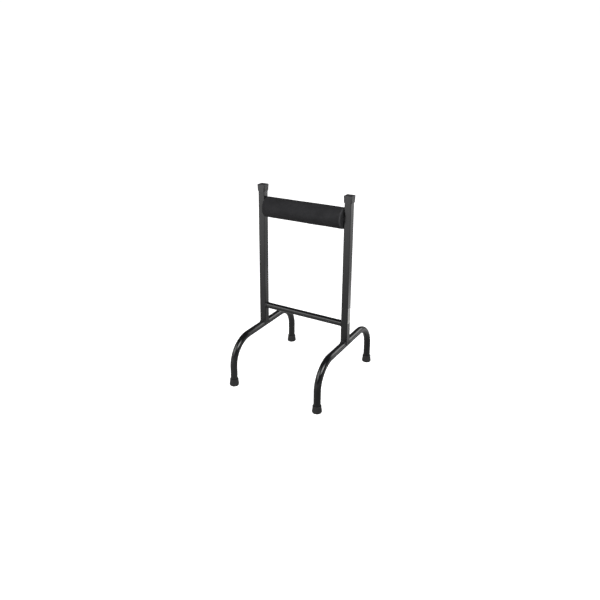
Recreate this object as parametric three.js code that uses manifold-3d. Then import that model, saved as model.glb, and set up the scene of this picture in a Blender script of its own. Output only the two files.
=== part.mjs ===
// A floor stand for a saxophone: a welded frame of steel tube with a foam-covered rest.
// Two bent legs run from front to back, a square upright stands on each of them, and two
// round crossbars join the uprights. Millimetres, +Z up. The origin is on the floor,
// under the middle of the stand. +X runs along the crossbars and +Y to the rear.
import * as THREE from 'three';
import { mergeVertices } from 'three/addons/utils/BufferGeometryUtils.js';
import Module from 'manifold-3d';

const wasm = await Module();
wasm.setup();

// Driving dimensions
const HEIGHT = 712; // floor to the top of the caps
const UPRIGHT_SPACING = 344; // between the centres of the uprights
const FOOT_SPACING = 410; // between the centres of a leg's two feet
const LEG_HEIGHT = 166.5; // floor to the centre of a leg's level run
const LOWER_BAR_HEIGHT = 243;
const TOP_BAR_HEIGHT = 630.5;

const GAP = 0.3; // left between pieces that touch
const WALL = 1.5; // of every tube

const LEG_DIAMETER = 25.4;
const LEG_BEND_RADIUS = 90; // at the tube's centre line
const LEG_SIDES = 24;
const LEG_BEND_STEPS = 9;

const UPRIGHT_SIZE = 25.4;
const UPRIGHT_CORNER = 2.5;

const BAR_DIAMETER = 22.2;
const BAR_SIDES = 24;

const FOAM_DIAMETER = 74.5;
const FOAM_BORE = 23;
const FOAM_LENGTH = 314;
const FOAM_SIDES = 48;
const FOAM_EDGE = 1.5; // the bevel on its rims

const CAP_HEIGHT = 24.5;
const CAP_BOTTOM = 29.5; // width at the mouth
const CAP_TOP = 31.8; // width at the closed end
const CAP_CORNER = 4;
const CAP_EDGE = 1.5; // the bevel round the closed end
const CAP_CROWN = 6; // rubber above the tube's end

const FOOT_HEIGHT = 25.5;
const FOOT_BASE = 6.3; // rubber under the washer
const FOOT_SEGMENTS = 28;
const FOOT_LIP_RADIUS = 15.7;
const FOOT_LIP_HEIGHT = 3.5;
const FOOT_LIP_EDGE = 0.8; // the bevel on the lip
const FOOT_WAIST_RADIUS = 15.2; // just under the lip
const FOOT_MIDDLE_RADIUS = 16.2; // at half height
const FOOT_FLARE_RADIUS = 17.6;
const FOOT_FLARE_HEIGHT = 4; // floor to the widest ring
const FOOT_SOLE_RADIUS = 16; // the flat that stands on the floor
const FOOT_SOLE_EDGE = 1.6; // floor to the middle of the sole's rounded edge

const WASHER_THICKNESS = 1.5;
const WASHER_HOLE = 10;

const SADDLE_WELD = 3; // leg of the fillet
const LOWER_BAR_WELD = 2.5;
const TOP_BAR_WELD = 2;
const WELD_SEGMENTS = 32;

const LABEL_WIDTH = 17;
const LABEL_HEIGHT = 58;
const LABEL_THICKNESS = 0.3;
const LABEL_CENTRE = 278; // above the floor

// Worked out from those
const SIDE = UPRIGHT_SPACING / 2;
const REACH = FOOT_SPACING / 2;
const INNER_FACE = SIDE - UPRIGHT_SIZE / 2;
const WASHER_BOTTOM = FOOT_BASE + GAP;
const LEG_END = WASHER_BOTTOM + WASHER_THICKNESS + GAP;
const UPRIGHT_TOP = HEIGHT - CAP_CROWN - GAP;

const gloss = (color) => new THREE.MeshStandardMaterial({ color, roughness: 0.25, metalness: 0.3 });
const rubber = (color) => new THREE.MeshStandardMaterial({ color, roughness: 0.7, metalness: 0 });
const blackPaint = gloss(0x17181a);
const weldPaint = gloss(0x1d1e21);
const blackRubber = rubber(0x26272a);
const zinc = new THREE.MeshStandardMaterial({ color: 0xa9adb2, roughness: 0.4, metalness: 1 });
const foam = new THREE.MeshStandardMaterial({ color: 0x1b1c1e, roughness: 0.95, metalness: 0 });
const silverFilm = new THREE.MeshStandardMaterial({ color: 0xb4b4ae, roughness: 0.5, metalness: 0.1 });

const stand = new THREE.Group();

function add(name, geometry, material, x = 0, y = 0, z = 0) {
  const mesh = new THREE.Mesh(geometry, material.clone());
  mesh.name = name;
  mesh.position.set(x, y, z);
  stand.add(mesh);
}

// Booleans

function toSolid(geometry) {
  const bare = geometry.clone();
  bare.deleteAttribute('normal');
  bare.deleteAttribute('uv');
  const merged = mergeVertices(bare, 1e-4);
  const vertProperties = new Float32Array(merged.attributes.position.array);
  const triVerts = new Uint32Array(merged.index.array);
  return new wasm.Manifold(new wasm.Mesh({ numProp: 3, vertProperties, triVerts }));
}

function toGeometry(solid) {
  const { vertProperties, triVerts } = solid.getMesh();
  const geometry = new THREE.BufferGeometry();
  geometry.setAttribute('position', new THREE.BufferAttribute(vertProperties, 3));
  geometry.setIndex(new THREE.BufferAttribute(triVerts, 1));
  geometry.computeVertexNormals();
  return geometry;
}

const subtract = (a, b) => toGeometry(toSolid(a).subtract(toSolid(b)));
const intersect = (a, b) => toGeometry(toSolid(a).intersect(toSolid(b)));

// Outlines

function circleOutline(radius, sides) {
  return Array.from({ length: sides }, (_, i) => {
    const angle = (i / sides) * 2 * Math.PI;
    return new THREE.Vector2(radius * Math.cos(angle), radius * Math.sin(angle));
  });
}

function ringShape(outerRadius, innerRadius, sides) {
  const shape = new THREE.Shape(circleOutline(outerRadius, sides));
  shape.holes.push(new THREE.Path(circleOutline(innerRadius, sides)));
  return shape;
}

function roundedSquare(path, size, corner) {
  const half = size / 2 - corner;
  path.absarc(half, half, corner, 0, Math.PI / 2);
  path.absarc(-half, half, corner, Math.PI / 2, Math.PI);
  path.absarc(-half, -half, corner, Math.PI, 1.5 * Math.PI);
  path.absarc(half, -half, corner, 1.5 * Math.PI, 2 * Math.PI);
  path.closePath();
  return path;
}

function squareTubeShape() {
  const shape = roundedSquare(new THREE.Shape(), UPRIGHT_SIZE, UPRIGHT_CORNER);
  const inner = roundedSquare(new THREE.Path(), UPRIGHT_SIZE - 2 * WALL, UPRIGHT_CORNER - WALL);
  shape.holes.push(inner);
  return shape;
}

// A full turn of a profile about the x axis. Its points are (along x, radius), anticlockwise.
function ringAboutX(profile, segments) {
  const points = profile.map(([along, radius]) => new THREE.Vector2(radius, along)).reverse();
  const ring = new THREE.LatheGeometry([...points, points[0]], segments);
  return ring.rotateZ(-Math.PI / 2);
}

// A full turn of a profile about the z axis. Its points are (radius, height), anticlockwise.
function ringAboutZ(profile, segments) {
  const points = profile.map(([radius, height]) => new THREE.Vector2(radius, height));
  const ring = new THREE.LatheGeometry([...points, points[0]], segments);
  return ring.rotateX(Math.PI / 2);
}

// Legs

// The leg's centre line: up from the front foot, over two bends and down to the rear one.
// Each straight run takes one step, and each bend LEG_BEND_STEPS of them.
class LegPath extends THREE.Curve {
  constructor() {
    super();
    this.steps = 3 + 2 * LEG_BEND_STEPS;
  }

  getUtoTmapping(u) {
    return u;
  }

  getPoint(t, target = new THREE.Vector3()) {
    const run = REACH - LEG_BEND_RADIUS;
    const side = t < 0.5 ? -1 : 1;
    const step = (t < 0.5 ? t : 1 - t) * this.steps;
    const shoulder = LEG_HEIGHT - LEG_BEND_RADIUS;
    if (step < 1) {
      return target.set(0, side * REACH, LEG_END + step * (shoulder - LEG_END));
    }
    if (step < 1 + LEG_BEND_STEPS) {
      const angle = ((step - 1) / LEG_BEND_STEPS) * (Math.PI / 2);
      const y = run + LEG_BEND_RADIUS * Math.cos(angle);
      return target.set(0, side * y, shoulder + LEG_BEND_RADIUS * Math.sin(angle));
    }
    const left = this.steps / 2 - step;
    return target.set(0, side * run * left * 2, LEG_HEIGHT);
  }
}

function legTube() {
  const path = new LegPath();
  const shape = ringShape(LEG_DIAMETER / 2, LEG_DIAMETER / 2 - WALL, LEG_SIDES);
  return new THREE.ExtrudeGeometry(shape, { extrudePath: path, steps: path.steps });
}

// Uprights: the lower end is cut to a saddle that fits over the leg tube.
function upright() {
  const length = UPRIGHT_TOP - LEG_HEIGHT;
  const tube = new THREE.ExtrudeGeometry(squareTubeShape(), {
    depth: length,
    bevelEnabled: false,
    curveSegments: 3,
  });
  tube.translate(0, 0, LEG_HEIGHT);
  const saddleRadius = LEG_DIAMETER / 2 + GAP;
  const saddle = new THREE.CylinderGeometry(saddleRadius, saddleRadius, 2 * UPRIGHT_SIZE, 2 * LEG_SIDES);
  return subtract(tube, saddle.translate(0, 0, LEG_HEIGHT));
}

// Crossbars, with open ends that stop short of the uprights' faces.
function crossbar() {
  const length = 2 * (INNER_FACE - GAP);
  const shape = ringShape(BAR_DIAMETER / 2, BAR_DIAMETER / 2 - WALL, BAR_SIDES);
  const tube = new THREE.ExtrudeGeometry(shape, { depth: length, bevelEnabled: false });
  return tube.translate(0, 0, -length / 2).rotateY(Math.PI / 2);
}

function foamSleeve() {
  const end = FOAM_LENGTH / 2;
  const rim = FOAM_DIAMETER / 2;
  const profile = [
    [-end, FOAM_BORE / 2],
    [end, FOAM_BORE / 2],
    [end, rim - FOAM_EDGE],
    [end - FOAM_EDGE, rim],
    [-end + FOAM_EDGE, rim],
    [-end, rim - FOAM_EDGE],
  ];
  return ringAboutX(profile, FOAM_SIDES);
}

// Welds: a fillet between a round tube and the flat face that it meets, clipped to the face.
function filletProfile(face, radius, leg, inward) {
  return [
    [face, radius],
    [face, radius + leg],
    [face + inward * leg, radius],
  ];
}

function barWeld(side, leg) {
  const face = side * (INNER_FACE - GAP);
  const profile = filletProfile(face, BAR_DIAMETER / 2 + GAP, leg, -side);
  const ordered = side > 0 ? profile : profile.reverse();
  const clip = new THREE.BoxGeometry(4 * SIDE, UPRIGHT_SIZE - GAP, 2 * UPRIGHT_SIZE);
  return intersect(ringAboutX(ordered, WELD_SEGMENTS), clip);
}

function saddleWeld(side) {
  const face = side * (UPRIGHT_SIZE / 2 + GAP);
  const profile = filletProfile(face, LEG_DIAMETER / 2 + GAP, SADDLE_WELD, side);
  const ordered = side > 0 ? profile.reverse() : profile;
  const ring = ringAboutX(ordered, WELD_SEGMENTS).rotateZ(Math.PI / 2);
  const clip = new THREE.BoxGeometry(UPRIGHT_SIZE - GAP, 4 * UPRIGHT_SIZE, UPRIGHT_SIZE);
  return intersect(ring, clip.translate(0, 0, UPRIGHT_SIZE / 2 + 2 * GAP));
}

// Caps: a flared square of rubber with a socket for the upright's end. The block begins a
// bevel's height below the mouth, and that much is trimmed off.
function cap() {
  const outline = roundedSquare(new THREE.Shape(), CAP_BOTTOM - 2 * CAP_EDGE, CAP_CORNER - CAP_EDGE);
  const body = new THREE.ExtrudeGeometry(outline, {
    depth: CAP_HEIGHT - CAP_EDGE,
    bevelThickness: CAP_EDGE,
    bevelSize: CAP_EDGE,
    bevelSegments: 2,
    curveSegments: 3,
  });
  const position = body.attributes.position;
  for (let i = 0; i < position.count; i += 1) {
    const flare = 1 + (CAP_TOP / CAP_BOTTOM - 1) * (position.getZ(i) / CAP_HEIGHT);
    position.setXY(i, position.getX(i) * flare, position.getY(i) * flare);
  }
  const socketShape = roundedSquare(new THREE.Shape(), UPRIGHT_SIZE + 2 * GAP, UPRIGHT_CORNER + GAP);
  const socket = new THREE.ExtrudeGeometry(socketShape, {
    depth: CAP_HEIGHT,
    bevelEnabled: false,
    curveSegments: 3,
  });
  const trim = new THREE.BoxGeometry(2 * CAP_TOP, 2 * CAP_TOP, 2 * CAP_EDGE);
  const trimmed = subtract(body, trim.translate(0, 0, -CAP_EDGE));
  return subtract(trimmed, socket.translate(0, 0, -CAP_CROWN));
}

// Feet: a rubber cup with a lip round its mouth, flaring to a rounded sole.
function foot() {
  const socketRadius = LEG_DIAMETER / 2 + GAP;
  const lipBottom = FOOT_HEIGHT - FOOT_LIP_HEIGHT;
  const profile = [
    [0, 0],
    [FOOT_SOLE_RADIUS, 0],
    [(FOOT_SOLE_RADIUS + 2 * FOOT_FLARE_RADIUS) / 3, FOOT_SOLE_EDGE],
    [FOOT_FLARE_RADIUS, FOOT_FLARE_HEIGHT],
    [FOOT_MIDDLE_RADIUS, FOOT_HEIGHT / 2],
    [FOOT_WAIST_RADIUS, lipBottom],
    [FOOT_LIP_RADIUS, lipBottom + FOOT_LIP_EDGE],
    [FOOT_LIP_RADIUS, FOOT_HEIGHT - FOOT_LIP_EDGE],
    [FOOT_LIP_RADIUS - FOOT_LIP_EDGE, FOOT_HEIGHT],
    [socketRadius, FOOT_HEIGHT],
    [socketRadius, FOOT_BASE],
    [0, FOOT_BASE],
  ];
  return ringAboutZ(profile, FOOT_SEGMENTS);
}

function washer() {
  const outer = LEG_DIAMETER / 2 - GAP;
  const inner = WASHER_HOLE / 2;
  const shape = ringShape(outer, inner, LEG_SIDES);
  return new THREE.ExtrudeGeometry(shape, { depth: WASHER_THICKNESS, bevelEnabled: false });
}

function label() {
  return new THREE.BoxGeometry(LABEL_THICKNESS, LABEL_WIDTH, LABEL_HEIGHT);
}

// Assembly

for (const [hand, side] of [['left', -1], ['right', 1]]) {
  const x = side * SIDE;
  add(`${hand}_leg_tube`, legTube(), blackPaint, x);
  add(`${hand}_upright`, upright(), blackPaint, x);
  add(`${hand}_cap`, cap(), blackRubber, x, 0, HEIGHT - CAP_HEIGHT);
  add(`${hand}_lower_bar_weld`, barWeld(side, LOWER_BAR_WELD), weldPaint, 0, 0, LOWER_BAR_HEIGHT);
  add(`${hand}_top_bar_weld`, barWeld(side, TOP_BAR_WELD), weldPaint, 0, 0, TOP_BAR_HEIGHT);
  for (const [end, way] of [['front', -1], ['rear', 1]]) {
    add(`${hand}_${end}_saddle_weld`, saddleWeld(way), weldPaint, x, 0, LEG_HEIGHT);
    add(`${end}_${hand}_foot`, foot(), blackRubber, x, way * REACH);
    add(`${end}_${hand}_foot_washer`, washer(), zinc, x, way * REACH, WASHER_BOTTOM);
  }
}
add('lower_bar', crossbar(), blackPaint, 0, 0, LOWER_BAR_HEIGHT);
add('top_bar', crossbar(), blackPaint, 0, 0, TOP_BAR_HEIGHT);
add('foam_sleeve', foamSleeve(), foam, 0, 0, TOP_BAR_HEIGHT);
const labelFace = SIDE + UPRIGHT_SIZE / 2 + GAP;
add('blank_label', label(), silverFilm, labelFace + LABEL_THICKNESS / 2, 0, LABEL_CENTRE);

export default stand;
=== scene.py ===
import math

import bmesh
import bpy
from mathutils import Matrix, Vector, noise


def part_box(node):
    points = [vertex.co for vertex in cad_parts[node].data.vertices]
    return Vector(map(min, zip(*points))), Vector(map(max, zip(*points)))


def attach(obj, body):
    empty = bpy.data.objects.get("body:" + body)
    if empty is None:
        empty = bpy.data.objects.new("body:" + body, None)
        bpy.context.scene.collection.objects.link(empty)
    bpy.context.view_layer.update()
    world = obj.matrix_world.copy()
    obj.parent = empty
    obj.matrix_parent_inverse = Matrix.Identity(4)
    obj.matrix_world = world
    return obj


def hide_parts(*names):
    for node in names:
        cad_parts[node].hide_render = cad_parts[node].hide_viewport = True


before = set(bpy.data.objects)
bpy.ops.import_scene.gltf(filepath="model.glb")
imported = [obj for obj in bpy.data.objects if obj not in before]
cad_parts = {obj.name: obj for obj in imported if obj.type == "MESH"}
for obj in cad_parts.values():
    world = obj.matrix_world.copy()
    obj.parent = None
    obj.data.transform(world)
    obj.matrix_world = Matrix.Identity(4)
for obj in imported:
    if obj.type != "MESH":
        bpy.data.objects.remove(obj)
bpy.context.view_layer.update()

SIDES = {"left": -1, "right": 1}
ENDS = {"front": -1, "rear": 1}
FULL_TURN = 2 * math.pi
QUARTER_TURN = math.pi / 2

# Stock sizes, in metres
WALL = 0.0015
BEND_RADIUS = 0.09
BEND_FLATTENING = 0.022
SQUARE_CORNER = 0.0026
END_BAND = 0.001
LOWER_BEAD = 0.0019
TOP_BEAD = 0.0012
SADDLE_BEAD = 0.0019
BAR_BEAD_PITCH = 0.0021
SADDLE_BEAD_PITCH = 0.0024
CAP_MOUTH = 0.0295
CAP_CORNER = 0.0036
CAP_EDGE = 0.0016
FOOT_LIP = 0.0157
FOOT_WAIST = 0.0152
TREAD_DEPTH = 0.0009
TREAD_WIDTH = 0.0029
TREAD_SLOPE = 0.0005
WASHER_HOLE = 0.005
WASHER_EDGE = 0.0003
FOAM_RIM = 0.0042
FOAM_SLIT = math.radians(3)
FOAM_TURN = math.radians(118)
LABEL_THICKNESS = 0.0003
LABEL_CORNER = 0.0018

# Places that the frame gives


def middle(node):
    low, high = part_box(node)
    return (low + high) / 2


leg_low, leg_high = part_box("right_leg_tube")
LEG_RADIUS = (leg_high.x - leg_low.x) / 2
LEG_AXIS = leg_high.z - LEG_RADIUS
REACH = leg_high.y - LEG_RADIUS
upright_low, upright_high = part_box("right_upright")
SQUARE = upright_high.x - upright_low.x
SIDE = (upright_low.x + upright_high.x) / 2
INNER_FACE = upright_low.x
bar_low, bar_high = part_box("lower_bar")
BAR_RADIUS = (bar_high.z - bar_low.z) / 2
foam_low, foam_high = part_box("foam_sleeve")
FOAM_RADIUS = (foam_high.z - foam_low.z) / 2

# Mesh helpers


def along(axis):
    """The turn that carries +Z onto an axis."""
    return Vector(axis).to_track_quat("Z", "Y").to_matrix().to_4x4()


def ring(bm, centre, axis, radius, sides):
    """The edges of a circle square to an axis."""
    matrix = Matrix.Translation(centre) @ along(axis)
    made = bmesh.ops.create_circle(bm, radius=radius, segments=sides, matrix=matrix)
    return sorted({e for v in made["verts"] for e in v.link_edges}, key=lambda e: e.index)


def edges_in(geometry):
    return [item for item in geometry if isinstance(item, bmesh.types.BMEdge)]


def verts_in(geometry):
    return [item for item in geometry if isinstance(item, bmesh.types.BMVert)]


def faces_in(geometry):
    return [item for item in geometry if isinstance(item, bmesh.types.BMFace)]


def pull(bm, edges, offset):
    """Extends a loop of edges into a wall, and returns the wall's far edges."""
    made = bmesh.ops.extrude_edge_only(bm, edges=edges)["geom"]
    bmesh.ops.translate(bm, verts=verts_in(made), vec=offset)
    return edges_in(made)


def swing(bm, edges, centre, axis, angle, steps):
    """Turns a loop of edges about an axis into a bent wall, and returns its far edges."""
    made = bmesh.ops.spin(bm, geom=edges, cent=centre, axis=axis, angle=angle, steps=steps)
    return edges_in(made["geom_last"])


def outline_face(bm, points):
    """A face from (across, along) points, standing in the xz plane."""
    return bm.faces.new([bm.verts.new((across, 0, up)) for across, up in points])


def round_corners(bm, verts, size, segments):
    bmesh.ops.bevel(
        bm, geom=verts, affect="VERTICES", offset=size, segments=segments, profile=0.5, material=-1
    )


def round_edges(bm, edges, size, segments):
    bmesh.ops.bevel(
        bm, geom=edges, affect="EDGES", offset=size, segments=segments, profile=0.5, material=-1
    )


def turn(bm, points, rounds, steps):
    """Spins an outline of (radius, height) points about the z axis. rounds maps a point's
    place in the list to the radius of its rounded corner."""
    face = outline_face(bm, points)
    corners = list(face.verts)
    for corner, size in rounds.items():
        round_corners(bm, [corners[corner]], size, 4)
    bm.faces.ensure_lookup_table()
    edges = [e for e in bm.edges if max(abs(v.co.x) for v in e.verts) > 1e-7]
    bmesh.ops.delete(bm, geom=list(bm.faces), context="FACES_ONLY")
    axial = [e for e in bm.edges if e not in edges]
    bmesh.ops.delete(bm, geom=axial, context="EDGES")
    bmesh.ops.spin(
        bm, geom=edges, cent=(0, 0, 0), axis=(0, 0, 1), angle=FULL_TURN, steps=steps, use_merge=True
    )
    bmesh.ops.remove_doubles(bm, verts=list(bm.verts), dist=1e-6)
    bmesh.ops.recalc_face_normals(bm, faces=list(bm.faces))


def place(bm, matrix):
    bmesh.ops.transform(bm, matrix=matrix, verts=list(bm.verts))


def mark_edges(bm):
    """Stores how sharply the surface turns at each point, for the materials to wear."""
    layer = bm.verts.layers.float.new("edge")
    flat, sharp = math.radians(7), math.radians(30)
    bm.normal_update()
    for vert in bm.verts:
        turns = [e.calc_face_angle_signed(0.0) for e in vert.link_edges if e.is_manifold]
        steepest = max(turns, default=0.0)
        vert[layer] = min(1.0, max(0.0, (steepest - flat) / (sharp - flat)))


def is_level(face):
    """True for a face that looks straight along one of the object's axes."""
    return max(abs(c) for c in face.normal) > 0.99999


def is_broad(face):
    """True for a face of more than a square centimetre."""
    return face.calc_area() > 1e-4


def make_piece(bm, name, nodes, material, body="frame", flat=None):
    """Turns a finished bmesh into a piece that rides on a body and stands for CAD nodes."""
    mark_edges(bm)
    for face in bm.faces:
        face.smooth = not (flat and flat(face))
    mesh = bpy.data.meshes.new(name)
    bm.to_mesh(mesh)
    bm.free()
    mesh.materials.append(material)
    piece = bpy.data.objects.new(name, mesh)
    bpy.context.scene.collection.objects.link(piece)
    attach(piece, body)
    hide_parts(*nodes)
    return piece


def give_wall(piece, thickness):
    """Thickens an open shell inwards, and closes its ends."""
    modifier = piece.modifiers.new("wall", "SOLIDIFY")
    modifier.thickness = thickness
    modifier.offset = -1
    modifier.use_even_offset = True


# Shader helpers


def add_node(tree, kind, inputs=None, **settings):
    """A shader node with its settings, and its inputs set to values or joined to sockets."""
    made = tree.nodes.new(kind)
    for key, value in settings.items():
        setattr(made, key, value)
    for key, value in (inputs or {}).items():
        if isinstance(value, bpy.types.NodeSocket):
            tree.links.new(value, made.inputs[key])
        else:
            made.inputs[key].default_value = value
    return made


def maths(tree, operation, a, b=0.0, clamp=False):
    return add_node(
        tree, "ShaderNodeMath", {0: a, 1: b}, operation=operation, use_clamp=clamp
    ).outputs[0]


def noise_at(tree, where, scale, detail=2.0, rough=0.5):
    inputs = {"Vector": where, "Scale": scale, "Detail": detail, "Roughness": rough}
    return add_node(tree, "ShaderNodeTexNoise", inputs).outputs["Fac"]


def spread(tree, value, low, high, to_low=0.0, to_high=1.0):
    """Maps a range of a value onto another range, clamped."""
    inputs = {
        "Value": value, "From Min": low, "From Max": high, "To Min": to_low, "To Max": to_high,
    }
    return add_node(tree, "ShaderNodeMapRange", inputs).outputs["Result"]


def blend_colours(tree, share, a, b):
    mixed = add_node(tree, "ShaderNodeMix", data_type="RGBA")
    for socket, value in ((0, share), (6, a), (7, b)):
        if isinstance(value, bpy.types.NodeSocket):
            tree.links.new(value, mixed.inputs[socket])
        else:
            mixed.inputs[socket].default_value = value
    return mixed.outputs[2]


SOCKETS = {"f": "NodeSocketFloat", "c": "NodeSocketColor", "v": "NodeSocketVector"}


def new_group(name, inputs, outputs):
    """A shader node group. inputs and outputs map a socket's name to f, c or v."""
    tree = bpy.data.node_groups.new(name, "ShaderNodeTree")
    for way, sockets in (("INPUT", inputs), ("OUTPUT", outputs)):
        for label, kind in sockets.items():
            tree.interface.new_socket(name=label, in_out=way, socket_type=SOCKETS[kind])
    return tree, tree.nodes.new("NodeGroupInput").outputs, tree.nodes.new("NodeGroupOutput")


def finish_group(tree, exit_node, results):
    for label, socket in results.items():
        tree.links.new(socket, exit_node.inputs[label])
    return tree


def build_enamel_group():
    """Gloss enamel on steel: orange peel, faint clouding, settled dust and thin edges."""
    tree, given, out = new_group(
        "enamel",
        {"Where": "v", "Edge": "f", "Paint": "c", "Thin Paint": "c", "Gloss": "f", "Peel": "f"},
        {"Colour": "c", "Roughness": "f", "Height": "f"},
    )
    where = given["Where"]
    cloud = noise_at(tree, where, 14.0, 3.0)
    specks = spread(tree, noise_at(tree, where, 900.0, 1.0), 0.70, 0.78)
    rubbed = noise_at(tree, where, 190.0, 4.0, 0.65)
    worn = maths(tree, "MULTIPLY", given["Edge"], spread(tree, rubbed, 0.42, 0.66), clamp=True)
    clouded = blend_colours(
        tree, spread(tree, cloud, 0.35, 0.65, 0.0, 0.35), given["Paint"], given["Thin Paint"]
    )
    edged = blend_colours(tree, worn, clouded, given["Thin Paint"])
    dusty = blend_colours(
        tree, maths(tree, "MULTIPLY", specks, 0.18), edged, (0.16, 0.155, 0.145, 1)
    )
    haze = spread(tree, cloud, 0.3, 0.7, -0.03, 0.05)
    rough = maths(tree, "ADD", given["Gloss"], haze)
    rough = maths(tree, "ADD", rough, maths(tree, "MULTIPLY", specks, 0.18))
    rough = maths(tree, "ADD", rough, maths(tree, "MULTIPLY", worn, 0.15), clamp=True)
    peel = noise_at(tree, where, given["Peel"], 1.5, 0.4)
    grit = noise_at(tree, where, 1700.0, 2.0)
    height = maths(tree, "ADD", peel, maths(tree, "MULTIPLY", grit, 0.12))
    height = maths(tree, "ADD", height, maths(tree, "MULTIPLY", specks, 0.4))
    return finish_group(tree, out, {"Colour": dusty, "Roughness": rough, "Height": height})


def build_rubber_group():
    """Moulded rubber: fine grain, a pale bloom in patches, and paler rubbed edges."""
    tree, given, out = new_group(
        "moulded_rubber",
        {"Where": "v", "Edge": "f", "Rubber": "c", "Bloom": "c", "Sheen": "f"},
        {"Colour": "c", "Roughness": "f", "Height": "f"},
    )
    where = given["Where"]
    bloom = spread(tree, noise_at(tree, where, 55.0, 5.0, 0.6), 0.42, 0.72)
    grain = noise_at(tree, where, 1300.0, 3.0, 0.6)
    scuff = spread(tree, noise_at(tree, where, 260.0, 4.0, 0.7), 0.45, 0.7)
    rubbed = maths(tree, "MULTIPLY", given["Edge"], scuff, clamp=True)
    pale = maths(tree, "ADD", maths(tree, "MULTIPLY", bloom, 0.4), rubbed, clamp=True)
    colour = blend_colours(tree, pale, given["Rubber"], given["Bloom"])
    rough = maths(tree, "ADD", given["Sheen"], spread(tree, grain, 0.3, 0.7, -0.06, 0.08))
    rough = maths(tree, "ADD", rough, maths(tree, "MULTIPLY", pale, 0.1), clamp=True)
    height = maths(tree, "ADD", grain, maths(tree, "MULTIPLY", scuff, 0.3))
    return finish_group(tree, out, {"Colour": colour, "Roughness": rough, "Height": height})


def build_foam_group():
    """Closed-cell foam: small open pits between thin walls, over a soft mottling."""
    tree, given, out = new_group(
        "foam_cells",
        {"Where": "v", "Wall": "c", "Pit": "c", "Cells": "f"},
        {"Colour": "c", "Roughness": "f", "Height": "f"},
    )
    where = given["Where"]
    stir = add_node(tree, "ShaderNodeTexNoise", {"Vector": where, "Scale": 260.0, "Detail": 2.0})
    shift = add_node(
        tree,
        "ShaderNodeVectorMath",
        {0: stir.outputs["Color"], 1: (0.0012, 0.0012, 0.0012)},
        operation="MULTIPLY",
    )
    moved = add_node(tree, "ShaderNodeVectorMath", {0: where, 1: shift.outputs[0]}, operation="ADD")
    cells = add_node(
        tree, "ShaderNodeTexVoronoi", {"Vector": moved.outputs[0], "Scale": given["Cells"]}
    ).outputs["Distance"]
    pits = spread(tree, cells, 0.12, 0.5)
    fine = noise_at(tree, where, 2400.0, 2.0)
    mottle = noise_at(tree, where, 24.0, 4.0, 0.6)
    light = maths(tree, "MULTIPLY", pits, spread(tree, mottle, 0.3, 0.7, 0.5, 1.0))
    colour = blend_colours(tree, light, given["Pit"], given["Wall"])
    rough = spread(tree, fine, 0.3, 0.7, 0.86, 0.98)
    height = maths(tree, "ADD", pits, maths(tree, "MULTIPLY", fine, 0.25))
    height = maths(tree, "ADD", height, maths(tree, "MULTIPLY", mottle, 0.8))
    return finish_group(tree, out, {"Colour": colour, "Roughness": rough, "Height": height})


ENAMEL = build_enamel_group()
RUBBER = build_rubber_group()
FOAM = build_foam_group()


def start_material(name):
    material = bpy.data.materials.new(name)
    material.use_nodes = True
    tree = material.node_tree
    where = add_node(tree, "ShaderNodeTexCoord").outputs["Object"]
    edge = add_node(tree, "ShaderNodeAttribute", attribute_name="edge").outputs["Fac"]
    return material, tree, tree.nodes["Principled BSDF"], where, edge


def finish_surface(tree, surface, outputs, depth, strength=1.0):
    """Joins a group's colour, roughness and height to the shader."""
    tree.links.new(outputs["Colour"], surface.inputs["Base Color"])
    tree.links.new(outputs["Roughness"], surface.inputs["Roughness"])
    bump = add_node(
        tree,
        "ShaderNodeBump",
        {"Height": outputs["Height"], "Distance": depth, "Strength": strength},
    )
    tree.links.new(bump.outputs["Normal"], surface.inputs["Normal"])


def place_group(tree, group, inputs):
    return add_node(tree, "ShaderNodeGroup", inputs, node_tree=group).outputs


def enamel_material(name, paint, thin, gloss, peel, depth):
    material, tree, surface, where, edge = start_material(name)
    outputs = place_group(
        tree,
        ENAMEL,
        {
            "Where": where, "Edge": edge, "Paint": paint, "Thin Paint": thin,
            "Gloss": gloss, "Peel": peel,
        },
    )
    surface.inputs["IOR"].default_value = 1.52
    finish_surface(tree, surface, outputs, depth)
    return material


def rubber_material(name, colour, bloom, sheen, depth):
    material, tree, surface, where, edge = start_material(name)
    outputs = place_group(
        tree,
        RUBBER,
        {"Where": where, "Edge": edge, "Rubber": colour, "Bloom": bloom, "Sheen": sheen},
    )
    finish_surface(tree, surface, outputs, depth)
    return material


def foam_material():
    """Cut foam: a painted shade darkens its colour towards near black where it turns away from the
    eye, and its handled rims are paler."""
    material, tree, surface, where, edge = start_material("black_foam")
    outputs = place_group(
        tree,
        FOAM,
        {
            "Where": where, "Wall": (0.029, 0.029, 0.031, 1), "Pit": (0.009, 0.009, 0.01, 1),
            "Cells": 620.0,
        },
    )
    surface.inputs["Sheen Weight"].default_value = 0.03
    surface.inputs["Sheen Roughness"].default_value = 0.6
    surface.inputs["Specular IOR Level"].default_value = 0.12
    # away drives a painted shade: the foam's colour darkens as it turns from the eye
    away = add_node(tree, "ShaderNodeLayerWeight", {"Blend": 0.5}).outputs["Facing"]
    rubbed = blend_colours(
        tree, maths(tree, "MULTIPLY", edge, 0.9, clamp=True), outputs["Colour"], (0.085, 0.085, 0.088, 1)
    )
    # Painted shade: the colour is mixed towards near black where the foam turns from the eye
    colour = blend_colours(
        tree, spread(tree, away, 0.0, 1.0, 0.0, 0.7), rubbed, (0.002, 0.002, 0.002, 1)
    )
    finish_surface(
        tree,
        surface,
        {"Colour": colour, "Roughness": outputs["Roughness"], "Height": outputs["Height"]},
        0.00035,
    )
    return material


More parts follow.
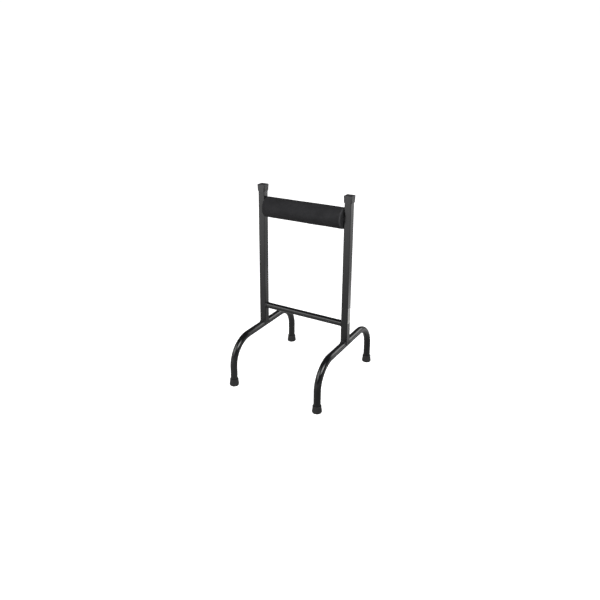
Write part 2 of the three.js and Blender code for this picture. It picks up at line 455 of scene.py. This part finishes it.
def zinc_material():
    """Bright plated steel, with the fine turning lines of a stamped washer."""
    material, tree, surface, where, edge = start_material("zinc_steel")
    patches = noise_at(tree, where, 320.0, 4.0, 0.6)
    lines = noise_at(tree, where, 2100.0, 3.0)
    colour = blend_colours(
        tree, spread(tree, patches, 0.35, 0.65), (0.50, 0.52, 0.55, 1), (0.66, 0.66, 0.64, 1)
    )
    worn = blend_colours(tree, maths(tree, "MULTIPLY", edge, 0.4), colour, (0.75, 0.75, 0.75, 1))
    rough = spread(tree, patches, 0.3, 0.7, 0.28, 0.46)
    surface.inputs["Metallic"].default_value = 1.0
    finish_surface(
        tree, surface, {"Colour": worn, "Roughness": rough, "Height": lines}, 0.00004
    )
    return material


def label_material():
    """A warm silver film with fine fibres, left blank but for a paler band at its foot."""
    material, tree, surface, where, edge = start_material("silver_label")
    low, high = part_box("blank_label")
    height = add_node(tree, "ShaderNodeSeparateXYZ", {"Vector": where}).outputs["Z"]
    band_top = low.z + 0.2 * (high.z - low.z)
    band = spread(tree, height, band_top - 0.0004, band_top + 0.0004, 1.0, 0.0)
    stretched = add_node(
        tree, "ShaderNodeMapping", {"Vector": where, "Scale": (1.0, 1.0, 0.12)}
    ).outputs[0]
    fibres = noise_at(tree, stretched, 1500.0, 3.0, 0.6)
    grime = spread(tree, noise_at(tree, where, 120.0, 4.0, 0.7), 0.5, 0.75)
    film = blend_colours(
        tree, spread(tree, fibres, 0.3, 0.7), (0.15, 0.148, 0.14, 1), (0.2, 0.197, 0.187, 1)
    )
    banded = blend_colours(tree, band, film, (0.36, 0.355, 0.34, 1))
    soiled = blend_colours(
        tree, maths(tree, "MULTIPLY", grime, 0.25), banded, (0.22, 0.21, 0.19, 1)
    )
    edged = blend_colours(tree, maths(tree, "MULTIPLY", edge, 0.5), soiled, (0.6, 0.6, 0.58, 1))
    rough = spread(tree, fibres, 0.3, 0.7, 0.34, 0.5)
    surface.inputs["Metallic"].default_value = 0.1
    finish_surface(
        tree, surface, {"Colour": edged, "Roughness": rough, "Height": fibres}, 0.00003
    )
    return material


BLACK_ENAMEL = enamel_material(
    "black_enamel", (0.005, 0.0052, 0.0056, 1), (0.012, 0.012, 0.013, 1), 0.2, 300.0, 0.00004
)
WELD_ENAMEL = enamel_material(
    "weld_enamel", (0.006, 0.0063, 0.0068, 1), (0.016, 0.016, 0.017, 1), 0.12, 620.0, 0.0001
)
CAP_RUBBER = rubber_material(
    "cap_rubber", (0.025, 0.025, 0.027, 1), (0.05, 0.049, 0.048, 1), 0.5, 0.00006
)
FOOT_RUBBER = rubber_material(
    "foot_rubber", (0.018, 0.018, 0.019, 1), (0.044, 0.043, 0.041, 1), 0.55, 0.00008
)
BLACK_FOAM = foam_material()
ZINC = zinc_material()
SILVER_LABEL = label_material()

# Legs and tubes


def flatten_bends(bm):
    """A bent tube's wall draws in a little on the outside of each bend."""
    run, shoulder = REACH - BEND_RADIUS, LEG_AXIS - BEND_RADIUS
    for vert in bm.verts:
        beyond = abs(vert.co.y) - run
        above = vert.co.z - shoulder
        if beyond <= 0 or above <= 0:
            continue
        out = Vector((0, math.copysign(beyond, vert.co.y), above))
        angle = math.atan2(above, beyond)
        outside = out.length - BEND_RADIUS
        share = math.sin(2 * angle) ** 0.5 * BEND_FLATTENING
        vert.co -= out.normalized() * outside * (share if outside > 0 else share * 0.4)


def build_leg(hand):
    """A tube bent twice: up from the front foot, level, and down to the rear foot."""
    x = SIDE * SIDES[hand]
    run, shoulder = REACH - BEND_RADIUS, LEG_AXIS - BEND_RADIUS
    bm = bmesh.new()
    edges = ring(bm, (x, -REACH, leg_low.z), (0, 0, 1), LEG_RADIUS, 64)
    edges = pull(bm, edges, (0, 0, END_BAND))
    edges = pull(bm, edges, (0, 0, shoulder - leg_low.z - END_BAND))
    edges = swing(bm, edges, (x, -run, shoulder), (-1, 0, 0), QUARTER_TURN, 40)
    edges = pull(bm, edges, (0, 2 * run, 0))
    edges = swing(bm, edges, (x, run, shoulder), (-1, 0, 0), QUARTER_TURN, 40)
    edges = pull(bm, edges, (0, 0, leg_low.z - shoulder + END_BAND))
    pull(bm, edges, (0, 0, -END_BAND))
    bmesh.ops.remove_doubles(bm, verts=list(bm.verts), dist=1e-6)
    flatten_bends(bm)
    bmesh.ops.recalc_face_normals(bm, faces=list(bm.faces))
    name = f"{hand}_bent_leg"
    piece = make_piece(bm, name, [f"{hand}_leg_tube"], BLACK_ENAMEL)
    give_wall(piece, WALL)
    return piece


def build_upright(hand):
    """A square tube with rounded corners, its lower end cut to fit over the leg."""
    x = SIDE * SIDES[hand]
    half = SQUARE / 2
    bm = bmesh.new()
    bmesh.ops.create_grid(
        bm, x_segments=1, y_segments=1, size=half, matrix=Matrix.Translation((x, 0, LEG_AXIS))
    )
    round_corners(bm, list(bm.verts), SQUARE_CORNER, 6)
    bmesh.ops.delete(bm, geom=list(bm.faces), context="FACES_ONLY")
    across = [e for e in bm.edges if all(abs(abs(v.co.y) - half) < 1e-6 for v in e.verts)]
    bmesh.ops.subdivide_edges(bm, edges=across, cuts=31)
    rim = list(bm.edges)
    foot = {v for e in rim for v in e.verts}
    edges = pull(bm, rim, (0, 0, END_BAND))
    foot |= {v for e in edges for v in e.verts}
    edges = pull(bm, edges, (0, 0, upright_high.z - LEG_AXIS - 2 * END_BAND))
    pull(bm, edges, (0, 0, END_BAND))
    for vert in foot:
        off = min(abs(vert.co.x - x), LEG_RADIUS)
        vert.co.z += math.sqrt(LEG_RADIUS**2 - off**2)
    bmesh.ops.recalc_face_normals(bm, faces=list(bm.faces))
    piece = make_piece(
        bm, f"{hand}_square_tube", [f"{hand}_upright"], BLACK_ENAMEL, flat=is_level
    )
    give_wall(piece, WALL)
    return piece


def build_crossbar(name, node):
    """A round tube that ends square against the uprights."""
    low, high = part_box(node)
    centre = (low + high) / 2
    bm = bmesh.new()
    edges = ring(bm, (-INNER_FACE, centre.y, centre.z), (1, 0, 0), BAR_RADIUS, 64)
    for step in (END_BAND, INNER_FACE - END_BAND, INNER_FACE - END_BAND, END_BAND):
        edges = pull(bm, edges, (step, 0, 0))
    bmesh.ops.recalc_face_normals(bm, faces=list(bm.faces))
    piece = make_piece(bm, name, [node], BLACK_ENAMEL)
    give_wall(piece, WALL)
    return piece


# Weld beads


def ripple(distance, pitch, seed):
    """The scalloped height of a weld bead, with the small unevenness of handwork."""
    wave = abs(math.sin(math.pi * distance / pitch))
    drift = noise.noise(Vector((distance * 160, seed * 7.3, 0.5)))
    return 1 + 0.16 * (wave - 0.6) + 0.14 * drift


def lay_bead(bm, path, radius, pitch, seed, closed):
    """Sweeps a round bead of filler along a path of points."""
    count = len(path)
    distance = 0.0
    loops = []
    for place_now, point in enumerate(path):
        ahead = path[(place_now + 1) % count] if closed else path[min(place_now + 1, count - 1)]
        behind = path[place_now - 1] if closed else path[max(place_now - 1, 0)]
        size = radius * ripple(distance, pitch, seed)
        if not closed:
            from_end = min(place_now, count - 1 - place_now) / 5
            size *= math.sqrt(min(1.0, from_end + 0.12))
        matrix = Matrix.Translation(point) @ along(ahead - behind)
        made = bmesh.ops.create_circle(bm, radius=size, segments=12, matrix=matrix)
        loops.append(list({e for v in made["verts"] for e in v.link_edges}))
        distance += (ahead - point).length
    pairs = list(zip(loops, loops[1:]))
    if closed:
        pairs.append((loops[-1], loops[0]))
    for first, second in pairs:
        bmesh.ops.bridge_loops(bm, edges=first + second)
    if not closed:
        for loop in (loops[0], loops[-1]):
            bmesh.ops.contextual_create(bm, geom=loop)
    bmesh.ops.recalc_face_normals(bm, faces=list(bm.faces))


def build_bar_bead(hand, bar, radius, seed):
    """A bead all round the end of a crossbar, against the upright."""
    side = SIDES[hand]
    centre = middle(bar)
    count = 132
    lift = BAR_RADIUS + 0.35 * radius
    path = []
    for step in range(count):
        angle = FULL_TURN * step / count
        path.append(
            Vector((
                side * (INNER_FACE - 0.4 * radius),
                centre.y + lift * math.cos(angle),
                centre.z + lift * math.sin(angle),
            ))
        )
    bm = bmesh.new()
    lay_bead(bm, path, radius, BAR_BEAD_PITCH, seed, closed=True)
    node = f"{hand}_{bar}_weld"
    return make_piece(bm, f"{hand}_{bar}_bead", [node], WELD_ENAMEL)


def saddle_path(x, way):
    """From the middle of one side, round the corner, over the arch and back down."""
    half = SQUARE / 2
    lift = LEG_RADIUS + 0.0006
    low = math.radians(14)
    side_height = LEG_AXIS + lift * math.sin(low)
    points = []
    for step in range(12):
        share = step / 12
        points.append(Vector((x + half + 0.0002, way * share * (half - 0.001), side_height)))
    for step in range(61):
        angle = low + (math.pi - 2 * low) * step / 60
        across, up = lift * math.cos(angle), lift * math.sin(angle)
        points.append(Vector((x + across, way * (half + 0.0005), LEG_AXIS + up)))
    for step in range(11, -1, -1):
        share = step / 12
        points.append(Vector((x - half - 0.0002, way * share * (half - 0.001), side_height)))
    return points


def build_saddle_bead(hand, end, seed):
    """A bead over the arch where an upright's tube sits on the leg."""
    bm = bmesh.new()
    path = saddle_path(SIDE * SIDES[hand], ENDS[end])
    lay_bead(bm, path, SADDLE_BEAD, SADDLE_BEAD_PITCH, seed, closed=False)
    node = f"{hand}_{end}_saddle_weld"
    return make_piece(bm, f"{hand}_{end}_saddle_bead", [node], WELD_ENAMEL)


# Rubber


def build_cap(hand):
    """A square rubber plug that flares towards its closed top, with a socket below."""
    low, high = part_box(f"{hand}_cap")
    centre = (low + high) / 2
    height = high.z - low.z
    top = high.x - low.x
    bm = bmesh.new()
    bmesh.ops.create_grid(
        bm, x_segments=1, y_segments=1, size=CAP_MOUTH / 2,
        matrix=Matrix.Translation((centre.x, centre.y, low.z)),
    )
    round_corners(bm, list(bm.verts), CAP_CORNER, 6)
    base = bm.faces[:][0]
    made = bmesh.ops.extrude_face_region(bm, geom=[base])["geom"]
    bmesh.ops.translate(bm, verts=verts_in(made), vec=(0, 0, height))
    pivot = Matrix.Translation((-centre.x, -centre.y, 0))
    flare = top / CAP_MOUTH
    bmesh.ops.scale(bm, verts=verts_in(made), vec=(flare, flare, 1), space=pivot)
    roof = faces_in(made)[0]
    round_edges(bm, list(roof.edges), CAP_EDGE, 4)
    bm.faces.ensure_lookup_table()
    roof = max(bm.faces, key=lambda f: (f.calc_center_median().z, f.calc_area()))
    bmesh.ops.inset_region(bm, faces=[roof], thickness=0.001, depth=0.00012)
    bmesh.ops.inset_region(bm, faces=[roof], thickness=0.0009, depth=0.00004)
    base = min(bm.faces, key=lambda f: (f.calc_center_median().z, -f.calc_area()))
    bmesh.ops.inset_region(bm, faces=[base], thickness=(CAP_MOUTH - SQUARE) / 2, depth=0.0)
    made = bmesh.ops.extrude_face_region(bm, geom=[base])["geom"]
    bmesh.ops.translate(bm, verts=verts_in(made), vec=(0, 0, upright_high.z - low.z))
    bmesh.ops.delete(bm, geom=[f for f in [base] if f.is_valid], context="FACES_ONLY")
    bmesh.ops.recalc_face_normals(bm, faces=list(bm.faces))
    name = f"{hand}_rubber_cap"
    return make_piece(bm, name, [f"{hand}_cap"], CAP_RUBBER, flat=is_broad)


def foot_outline():
    """A foot's section, and the radius of each rounded corner: grooved sole, rounded
    heel, flared wall, lip and socket."""
    low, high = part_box("front_right_foot")
    widest = (high.x - low.x) / 2
    height = high.z - low.z
    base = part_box("front_right_foot_washer")[0].z
    sole = widest - 0.0014
    points = [(0, TREAD_DEPTH)]
    for start in (0.0032, 0.0069, 0.0106):
        stop = start + TREAD_WIDTH
        points += [
            (start, TREAD_DEPTH), (start + TREAD_SLOPE, 0), (stop - TREAD_SLOPE, 0), (stop, TREAD_DEPTH),
        ]
    points += [(0.0139, TREAD_DEPTH), (0.0143, 0)]
    heel = len(points)
    points += [
        (sole, 0), (widest, 0.0042), (widest - 0.0014, height * 0.5), (FOOT_WAIST, height - 0.0042),
        (FOOT_LIP, height - 0.0035), (FOOT_LIP, height), (LEG_RADIUS, height), (LEG_RADIUS, base),
        (0, base),
    ]
    rounds = {
        heel: 0.0014, heel + 1: 0.0013, heel + 2: 0.003, heel + 3: 0.0005, heel + 4: 0.0003,
        heel + 5: 0.001, heel + 6: 0.0007,
    }
    return points, rounds


def build_foot(end, hand):
    """A round rubber foot on the end of a leg."""
    node = f"{end}_{hand}_foot"
    points, rounds = foot_outline()
    bm = bmesh.new()
    turn(bm, points, rounds, 96)
    place(bm, Matrix.Translation((SIDE * SIDES[hand], REACH * ENDS[end], 0)))
    return make_piece(bm, f"{end}_{hand}_rubber_foot", [node], FOOT_RUBBER)


def build_washer(end, hand):
    """The steel washer between a leg's end and the rubber under it."""
    node = f"{end}_{hand}_foot_washer"
    low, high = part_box(node)
    outer, thick = (high.x - low.x) / 2, high.z - low.z
    bm = bmesh.new()
    points = [(WASHER_HOLE, 0), (outer, 0), (outer, thick), (WASHER_HOLE, thick)]
    turn(bm, points, {corner: WASHER_EDGE for corner in range(4)}, 64)
    place(bm, Matrix.Translation((SIDE * SIDES[hand], REACH * ENDS[end], low.z)))
    return make_piece(bm, f"{end}_{hand}_steel_washer", [node], ZINC)


# Foam


def build_foam():
    """A thick foam tube, slit along its length to go over the bar and glued shut."""
    centre = middle("foam_sleeve")
    half = (foam_high.x - foam_low.x) / 2
    bore = BAR_RADIUS + 0.0004
    bm = bmesh.new()
    face = outline_face(bm, [(bore, -half), (FOAM_RADIUS, -half), (FOAM_RADIUS, half), (bore, half)])
    outer = list(face.verts)[1:3]
    round_corners(bm, outer, FOAM_RIM, 5)
    bmesh.ops.delete(bm, geom=list(bm.faces), context="FACES_ONLY")
    end_edges = [e for e in bm.edges if FOAM_RADIUS / 2 < e.calc_length() < half]
    long_edges = [e for e in bm.edges if e.calc_length() > half]
    bmesh.ops.subdivide_edges(bm, edges=end_edges, cuts=9)
    bmesh.ops.subdivide_edges(bm, edges=long_edges, cuts=110)
    section = list(bm.edges)
    section = swing(bm, section, (0, 0, 0), (0, 0, 1), FULL_TURN - FOAM_SLIT, 168)
    swing(bm, section, (0, 0, 0), (0, 0, 1), FOAM_SLIT, 10)
    bmesh.ops.remove_doubles(bm, verts=list(bm.verts), dist=1e-6)
    bmesh.ops.recalc_face_normals(bm, faces=list(bm.faces))
    for vert in bm.verts:
        shape_foam(vert, bore, half)
    tilt = Matrix.Rotation(FOAM_TURN, 4, "X")
    place(bm, Matrix.Translation(centre) @ tilt @ Matrix.Rotation(QUARTER_TURN, 4, "Y"))
    piece = make_piece(bm, "foam_roll", ["foam_sleeve"], BLACK_FOAM, body="sleeve")
    return piece


def shape_foam(vert, bore, half):
    """Makes the cut foam a little uneven, and draws its skin in along the glued slit."""
    radius = math.hypot(vert.co.x, vert.co.y)
    depth = (radius - bore) / (FOAM_RADIUS - bore)
    if depth < 1e-4:
        return
    out = Vector((vert.co.x, vert.co.y, 0)) / radius
    seed = Vector((out.x * 1.6, out.y * 1.6, vert.co.z * 14))
    wave = 0.00045 * noise.noise(seed) + 0.00022 * noise.noise(seed * 4.3)
    angle = math.atan2(vert.co.y, vert.co.x)
    from_slit = (angle + FOAM_SLIT / 2) * radius
    seam = -0.0014 * math.exp(-((from_slit / 0.0006) ** 2)) * depth**8
    seam += 0.0003 * math.exp(-((from_slit / 0.0035) ** 2)) * depth**8
    near_end = max(0.0, 1 - (half - abs(vert.co.z)) / 0.012)
    settle = -0.0005 * near_end**2
    vert.co += out * (wave + seam + settle) * depth
    if abs(vert.co.z) > half - 0.0025:
        dish = 0.0006 * noise.noise(Vector((vert.co.x * 60, vert.co.y * 60, vert.co.z * 9)))
        vert.co.z -= math.copysign(0.0004 + abs(dish), vert.co.z)


# Label


def build_label():
    """A thin film with rounded corners, stuck to the outer face of an upright."""
    low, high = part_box("blank_label")
    centre = (low + high) / 2
    wide, tall = (high.y - low.y) / 2, (high.z - low.z) / 2
    bm = bmesh.new()
    face = outline_face(bm, [(-wide, -tall), (wide, -tall), (wide, tall), (-wide, tall)])
    round_corners(bm, list(face.verts), LABEL_CORNER, 6)
    made = bmesh.ops.extrude_face_region(bm, geom=list(bm.faces))["geom"]
    bmesh.ops.translate(bm, verts=verts_in(made), vec=(0, -LABEL_THICKNESS, 0))
    bmesh.ops.recalc_face_normals(bm, faces=list(bm.faces))
    face_x = SIDE + SQUARE / 2
    place(bm, Matrix.Translation((face_x, centre.y, centre.z)) @ Matrix.Rotation(QUARTER_TURN, 4, "Z"))
    return make_piece(bm, "plain_label", ["blank_label"], SILVER_LABEL, flat=is_level)


def build_stand():
    seed = 1
    for hand in SIDES:
        build_leg(hand)
        build_upright(hand)
        build_cap(hand)
        build_bar_bead(hand, "lower_bar", LOWER_BEAD, seed)
        build_bar_bead(hand, "top_bar", TOP_BEAD, seed + 1)
        for end in ENDS:
            seed += 3
            build_saddle_bead(hand, end, seed)
            build_foot(end, hand)
            build_washer(end, hand)
    build_crossbar("lower_crossbar", "lower_bar")
    build_crossbar("rest_crossbar", "top_bar")
    build_foam()
    build_label()


# Studio


def build_camera():
    azimuth, elevation = math.radians(29.93), math.radians(17.5)
    roll = math.radians(0.4)
    distance = 2.169
    aim = Vector((0, 0, 0.318))
    slide, rise = -0.0133, 0.2007
    back = Vector((
        math.sin(azimuth) * math.cos(elevation),
        -math.cos(azimuth) * math.cos(elevation),
        math.sin(elevation),
    ))
    right = Vector((math.cos(azimuth), math.sin(azimuth), 0))
    up = back.cross(right)
    right, up = (
        right * math.cos(roll) + up * math.sin(roll),
        up * math.cos(roll) - right * math.sin(roll),
    )
    data = bpy.data.cameras.new("camera")
    data.sensor_width = 36
    data.lens = 35.6
    data.shift_y = -0.1
    camera = bpy.data.objects.new("camera", data)
    turned = Matrix((right, up, back)).transposed().to_4x4()
    camera.matrix_world = Matrix.Translation(aim + back * distance + right * slide + up * rise) @ turned
    bpy.context.scene.collection.objects.link(camera)
    bpy.context.scene.camera = camera


def build_world():
    """A dim studio with a soft glow round the horizon, white where it is seen directly."""
    world = bpy.data.worlds.new("studio")
    world.use_nodes = True
    tree = world.node_tree
    tree.nodes.clear()
    direction = add_node(tree, "ShaderNodeTexCoord").outputs["Generated"]
    height = add_node(tree, "ShaderNodeSeparateXYZ", {"Vector": direction}).outputs["Z"]
    ramp = add_node(tree, "ShaderNodeValToRGB", {"Fac": height}).color_ramp
    ramp.elements[0].position, ramp.elements[0].color = 0.0, (0.40, 0.40, 0.41, 1)
    ramp.elements[1].position, ramp.elements[1].color = 0.7, (0.04, 0.04, 0.042, 1)
    ramp.elements.new(0.24).color = (0.08, 0.08, 0.082, 1)
    glow = tree.nodes[-1].outputs["Color"]
    walls = add_node(tree, "ShaderNodeBackground", {"Color": glow, "Strength": 1.0})
    seen = add_node(tree, "ShaderNodeBackground", {"Color": (1, 1, 1, 1), "Strength": 1.03})
    path = add_node(tree, "ShaderNodeLightPath")
    mixed = add_node(
        tree,
        "ShaderNodeMixShader",
        {0: path.outputs["Is Camera Ray"], 1: walls.outputs[0], 2: seen.outputs[0]},
    )
    add_node(tree, "ShaderNodeOutputWorld", {"Surface": mixed.outputs[0]})
    bpy.context.scene.world = world


def painted_floor_glow(tree, where):
    """A painted glow on the floor, which only the stand's gloss sees: painted reflections, not lamps.
    How brightly the floor shows in that gloss: in front it is grey close by, paler far off and darker
    on the right; behind it is paler to the right, with a painted pool of light near the feet."""
    parts = add_node(tree, "ShaderNodeSeparateXYZ", {"Vector": where}).outputs
    away = add_node(tree, "ShaderNodeVectorMath", {0: where}, operation="LENGTH").outputs["Value"]
    front = maths(
        tree,
        "MULTIPLY",
        spread(tree, away, 0.28, 2.8, 0.42, 1.6),
        spread(tree, parts["X"], 0.0, 0.3, 1.0, 0.55),
    )
    rightward = maths(tree, "SUBTRACT", parts["X"], maths(tree, "MULTIPLY", parts["Y"], 0.35))
    rear = maths(
        tree,
        "ADD",
        spread(tree, rightward, 0.1, 0.5, 0.42, 0.82),
        spread(tree, parts["X"], 1.15, 1.4, 0.0, 0.8),
    )
    # Painted pool of light on the floor near the feet
    from_pool = add_node(
        tree, "ShaderNodeVectorMath", {0: where, 1: (0.6, 0.62, 0.0)}, operation="DISTANCE"
    ).outputs["Value"]
    pool = spread(tree, from_pool, 0.42, 0.1, 0.0, 0.9)
    behind = spread(tree, parts["Y"], 0.1, 0.45)
    plain = add_node(tree, "ShaderNodeMix", {0: behind, 2: front, 3: rear}).outputs[0]
    return maths(tree, "ADD", plain, pool)


def build_floor():
    bm = bmesh.new()
    bmesh.ops.create_grid(bm, x_segments=8, y_segments=8, size=60)
    mesh = bpy.data.meshes.new("studio_floor")
    bm.to_mesh(mesh)
    bm.free()
    material = bpy.data.materials.new("pale_floor")
    material.use_nodes = True
    tree = material.node_tree
    surface = tree.nodes["Principled BSDF"]
    where = add_node(tree, "ShaderNodeTexCoord").outputs["Object"]
    shade = spread(tree, noise_at(tree, where, 3.0, 3.0), 0.3, 0.7, 0.86, 0.9)
    colour = add_node(tree, "ShaderNodeCombineColor", {0: shade, 1: shade, 2: shade}).outputs[0]
    tree.links.new(colour, surface.inputs["Base Color"])
    surface.inputs["Roughness"].default_value = 0.8
    surface.inputs["Specular IOR Level"].default_value = 0.1
    surface.inputs["Emission Color"].default_value = (1, 1, 1, 1)
    away = add_node(tree, "ShaderNodeVectorMath", {0: where}, operation="LENGTH").outputs["Value"]
    tree.links.new(spread(tree, away, 0.8, 3.0, 0.85, 1.1), surface.inputs["Emission Strength"])
    # The floor glows with a painted pattern of light that only reflections see; the camera sees the
    # plain pale floor
    glow = add_node(
        tree, "ShaderNodeEmission", {"Color": (1, 1, 1, 1), "Strength": painted_floor_glow(tree, where)}
    )
    path = add_node(tree, "ShaderNodeLightPath")
    mixed = add_node(
        tree,
        "ShaderNodeMixShader",
        {0: path.outputs["Is Camera Ray"], 1: glow.outputs[0], 2: surface.outputs[0]},
    )
    tree.links.new(mixed.outputs[0], tree.nodes["Material Output"].inputs["Surface"])
    mesh.materials.append(material)
    floor = bpy.data.objects.new("studio_floor", mesh)
    bpy.context.scene.collection.objects.link(floor)


def add_softbox(name, toward, distance, width, height, radiance):
    """A rectangular light that looks at the stand from a direction."""
    aim = Vector((0, 0, 0.33))
    data = bpy.data.lights.new(name, "AREA")
    data.shape = "RECTANGLE"
    data.size, data.size_y = width, height
    data.energy = radiance * math.pi * width * height
    lamp = bpy.data.objects.new(name, data)
    lamp.location = aim + Vector(toward).normalized() * distance
    lamp.rotation_mode = "QUATERNION"
    lamp.rotation_quaternion = Vector(toward).to_track_quat("Z", "Y")
    bpy.context.scene.collection.objects.link(lamp)


def build_lights():
    add_softbox("key_softbox", (0.589, -0.368, 0.719), 3.3, 1.9, 1.4, 9.5)
    add_softbox("left_softbox", (-0.46, -0.73, 0.5), 3.0, 3.0, 1.7, 3.0)
    add_softbox("rear_softbox", (0.439, 0.821, 0.367), 3.2, 1.6, 1.3, 3.4)


build_camera()
build_world()
build_floor()
build_lights()
build_stand()
bpy.context.scene.view_settings.view_transform = "Standard"
